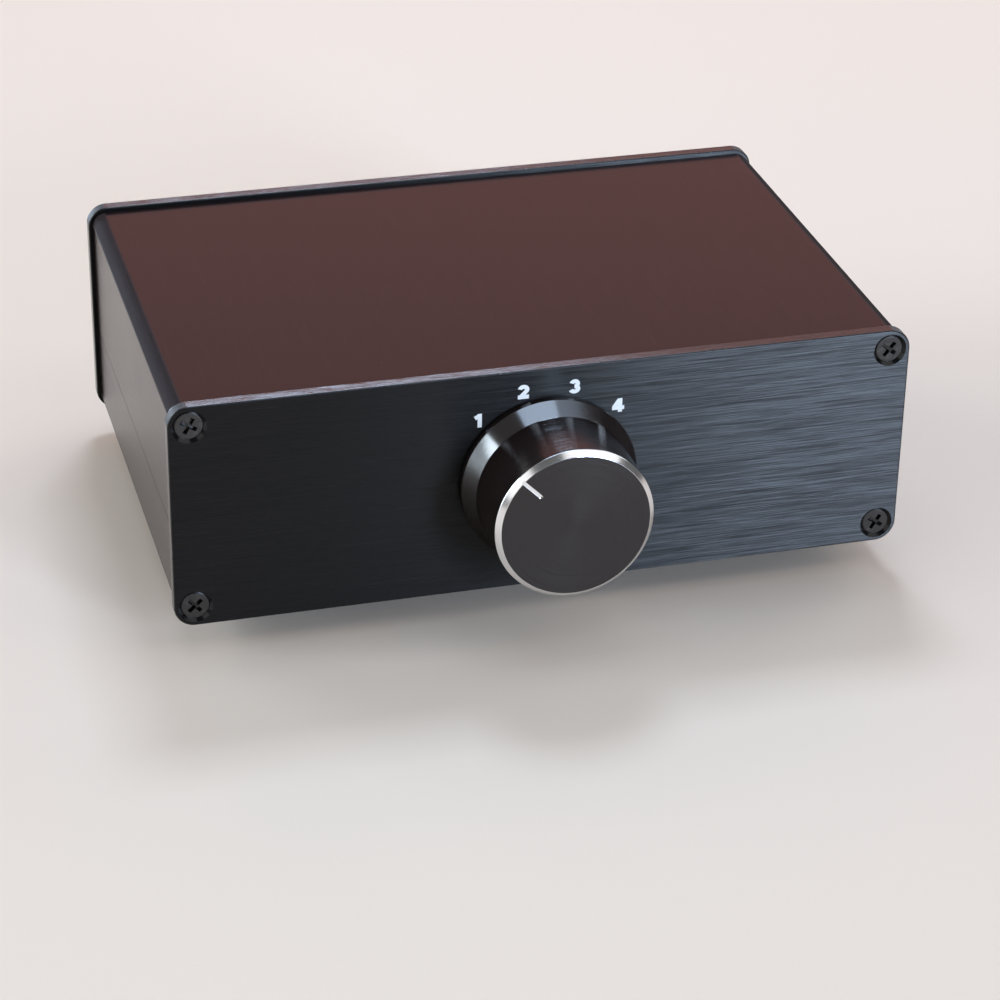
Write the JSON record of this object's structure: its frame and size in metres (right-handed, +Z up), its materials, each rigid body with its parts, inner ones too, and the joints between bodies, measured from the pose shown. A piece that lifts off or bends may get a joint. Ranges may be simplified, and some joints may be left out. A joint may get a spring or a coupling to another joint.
{
  "type": "audio source selector",
  "caption": "Small flat box with a round selector knob on the front and two rows of phono jacks on the back; the knob joins one stereo source at a time to a common pair.",
  "frame": {"origin": "on the ground under the middle of the whole part, knob and jacks included", "axes": "+X to the right as seen from the front, +Y from the knob to the jacks, +Z up"},
  "size_m": [0.16, 0.14, 0.0574],
  "materials": {
    "shell_metal": "black anodised, fine grain along the depth",
    "panel_metal": "black anodised, brushed across the width",
    "dark_screws": "black oxide",
    "foot_rubber": "matte black",
    "knob_metal": "black anodised, turned face with a bright cut ring",
    "plated_metal": "nickel plated",
    "shaft_brass": "turned",
    "spring_steel": "polished",
    "phenolic": "brown moulded phenolic",
    "rotor_plastic": "ivory moulding",
    "gold_plate": "gold plated",
    "white_nylon": "natural white nylon",
    "tinned_metal": "tinned",
    "red_ring": "glossy",
    "black_ring": "glossy",
    "pale_insulation": "satin",
    "red_insulation": "satin"
  },
  "bodies": {
    "case": {"top_shell": "shell_metal", "bottom_shell": "shell_metal", "front_panel": "panel_metal", "rear_panel": "panel_metal", "front_panel_screws": "dark_screws", "rear_panel_screws": "dark_screws", "foot_front_left": "foot_rubber", "foot_front_right": "foot_rubber", "foot_rear_left": "foot_rubber", "foot_rear_right": "foot_rubber", "switch_bushing": "plated_metal", "switch_washer": "plated_metal", "switch_nut": "plated_metal", "detent_spring": "spring_steel", "switch_housing": "phenolic", "switch_base": "phenolic", "switch_terminals": "gold_plate", "switch_screws": "plated_metal", "jack_insulators": "white_nylon", "outer_washers": "white_nylon", "inner_washers": "white_nylon", "ground_tags": "tinned_metal", "jack_nuts": "gold_plate", "red_marker_rings": "red_ring", "black_marker_rings": "black_ring", "left_signal_wires": "pale_insulation", "right_signal_wires": "red_insulation", "ground_bus_wire": "tinned_metal", "input_1_left_shell": "gold_plate", "input_2_left_shell": "gold_plate", "input_3_left_shell": "gold_plate", "input_4_left_shell": "gold_plate", "common_left_shell": "gold_plate", "input_1_right_shell": "gold_plate", "input_2_right_shell": "gold_plate", "input_3_right_shell": "gold_plate", "input_4_right_shell": "gold_plate", "common_right_shell": "gold_plate", "input_1_left_contact": "gold_plate", "input_2_left_contact": "gold_plate", "input_3_left_contact": "gold_plate", "input_4_left_contact": "gold_plate", "common_left_contact": "gold_plate", "input_1_right_contact": "gold_plate", "input_2_right_contact": "gold_plate", "input_3_right_contact": "gold_plate", "input_4_right_contact": "gold_plate", "common_right_contact": "gold_plate"},
    "selector": {"knob": "knob_metal", "knob_set_screw": "dark_screws", "switch_shaft": "shaft_brass", "shaft_clip": "spring_steel", "detent_wheel": "plated_metal", "switch_rotor": "rotor_plastic", "rotor_contacts": "gold_plate"}
  },
  "joints": [
    {"name": "selector_turn", "type": "hinge", "parent": "case", "child": "selector", "pos_m": [0, 0, 0.0319], "axis": [0, 1, 0], "range_deg": [0, 90], "deforming": ["detent_spring"]}
  ]
}
